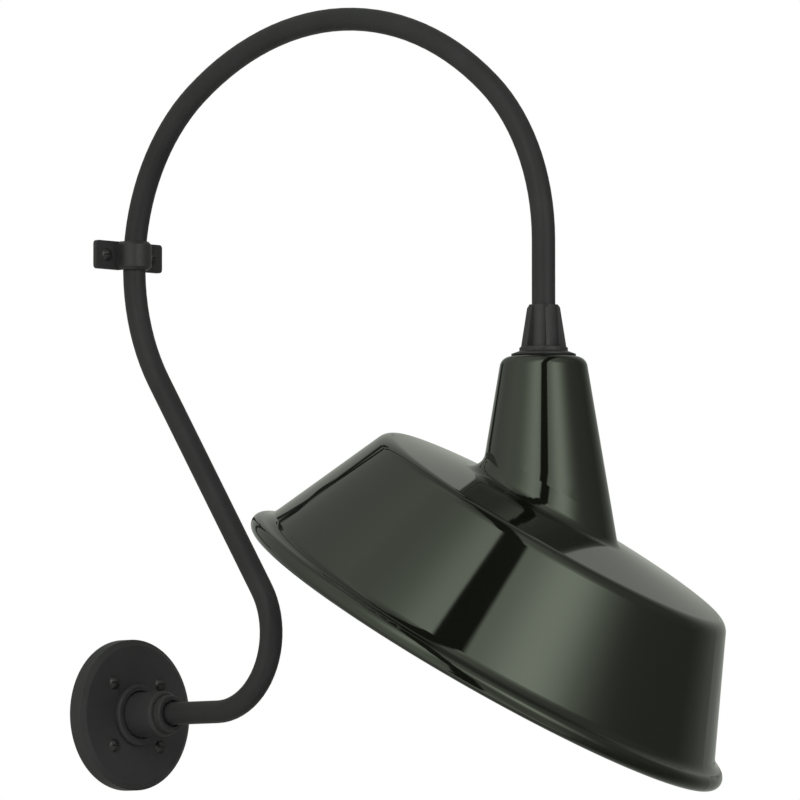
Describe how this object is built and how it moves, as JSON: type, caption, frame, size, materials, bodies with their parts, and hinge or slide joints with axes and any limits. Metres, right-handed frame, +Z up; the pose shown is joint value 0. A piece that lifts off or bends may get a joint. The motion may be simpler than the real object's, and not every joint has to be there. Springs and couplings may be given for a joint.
{
  "type": "barn light",
  "caption": "Gooseneck barn light with a round wall canopy, a looped arm held by a pipe strap, and an angled bell shade on a swivel with a finned cap.",
  "frame": {"origin": "centre of the canopy's back, on the wall, between the two slots of the mounting plate", "axes": "+Y into the wall, -Y out into the room, +Z up, +X to the right of someone who looks at the wall"},
  "size_m": [0.4227, 0.6413, 0.6541],
  "materials": {
    "black_coat": "satin black powder coat",
    "black_tube": "satin black powder coat",
    "black_cast": "black coated casting, slightly rough",
    "black_screw": "black screws",
    "green_enamel": "glossy dark green enamel outside, white inside",
    "zinc_plate": "zinc plated steel",
    "steel_screw": "plain steel",
    "earth_green": "green earth screw",
    "brass_bush": "turned brass",
    "brass_shell": "thin pressed brass",
    "gasket_rubber": "closed-cell rubber",
    "cable_sheath": "black cable sheath",
    "porcelain": "glazed porcelain",
    "bulb_cap_metal": "bright aluminium",
    "bulb_black_glass": "black insulator",
    "bulb_clear_glass": "pearl glass",
    "bulb_stem_glass": "glass stem with its filament"
  },
  "bodies": {
    "arm": {"mounting_plate": "zinc_plate", "canopy_gasket": "gasket_rubber", "cable_grommet": "gasket_rubber", "ground_screw": "earth_green", "canopy": "black_coat", "canopy_screws": "black_screw", "hub": "black_coat", "hub_locknut": "zinc_plate", "hub_collar": "black_coat", "hub_set_screw": "black_screw", "gooseneck_tube": "black_tube", "arm_cable": "cable_sheath", "pipe_strap": "black_cast", "strap_screws": "black_screw", "swivel_bush": "brass_bush"},
    "shade_head": {"finned_cap": "black_cast", "cap_set_screws": "black_screw", "cap_gasket": "gasket_rubber", "shade_neck": "green_enamel", "shade_hood": "green_enamel", "shade_shoulder": "green_enamel", "shade_skirt": "green_enamel", "shade_locknut": "zinc_plate", "socket_holder": "zinc_plate", "socket_screws": "steel_screw", "socket_body": "porcelain", "socket_shell": "brass_shell", "socket_contact": "brass_shell", "socket_lead": "cable_sheath"},
    "bulb": {"bulb_base": "bulb_cap_metal", "bulb_insulator": "bulb_black_glass", "bulb_tip": "bulb_cap_metal", "bulb_glass": "bulb_clear_glass", "bulb_stem": "bulb_stem_glass"}
  },
  "joints": [
    {"name": "shade_swivel", "type": "hinge", "parent": "arm", "child": "shade_head", "pos_m": [0, -0.49126, 0.28], "axis": [0, 0, 1], "range_deg": [-190, 140]},
    {"name": "bulb_turn", "type": "hinge", "parent": "shade_head", "child": "bulb", "pos_m": [0, -0.49126, 0.24], "axis": [0, 0, -1], "range_deg": [0, 1080]}
  ]
}
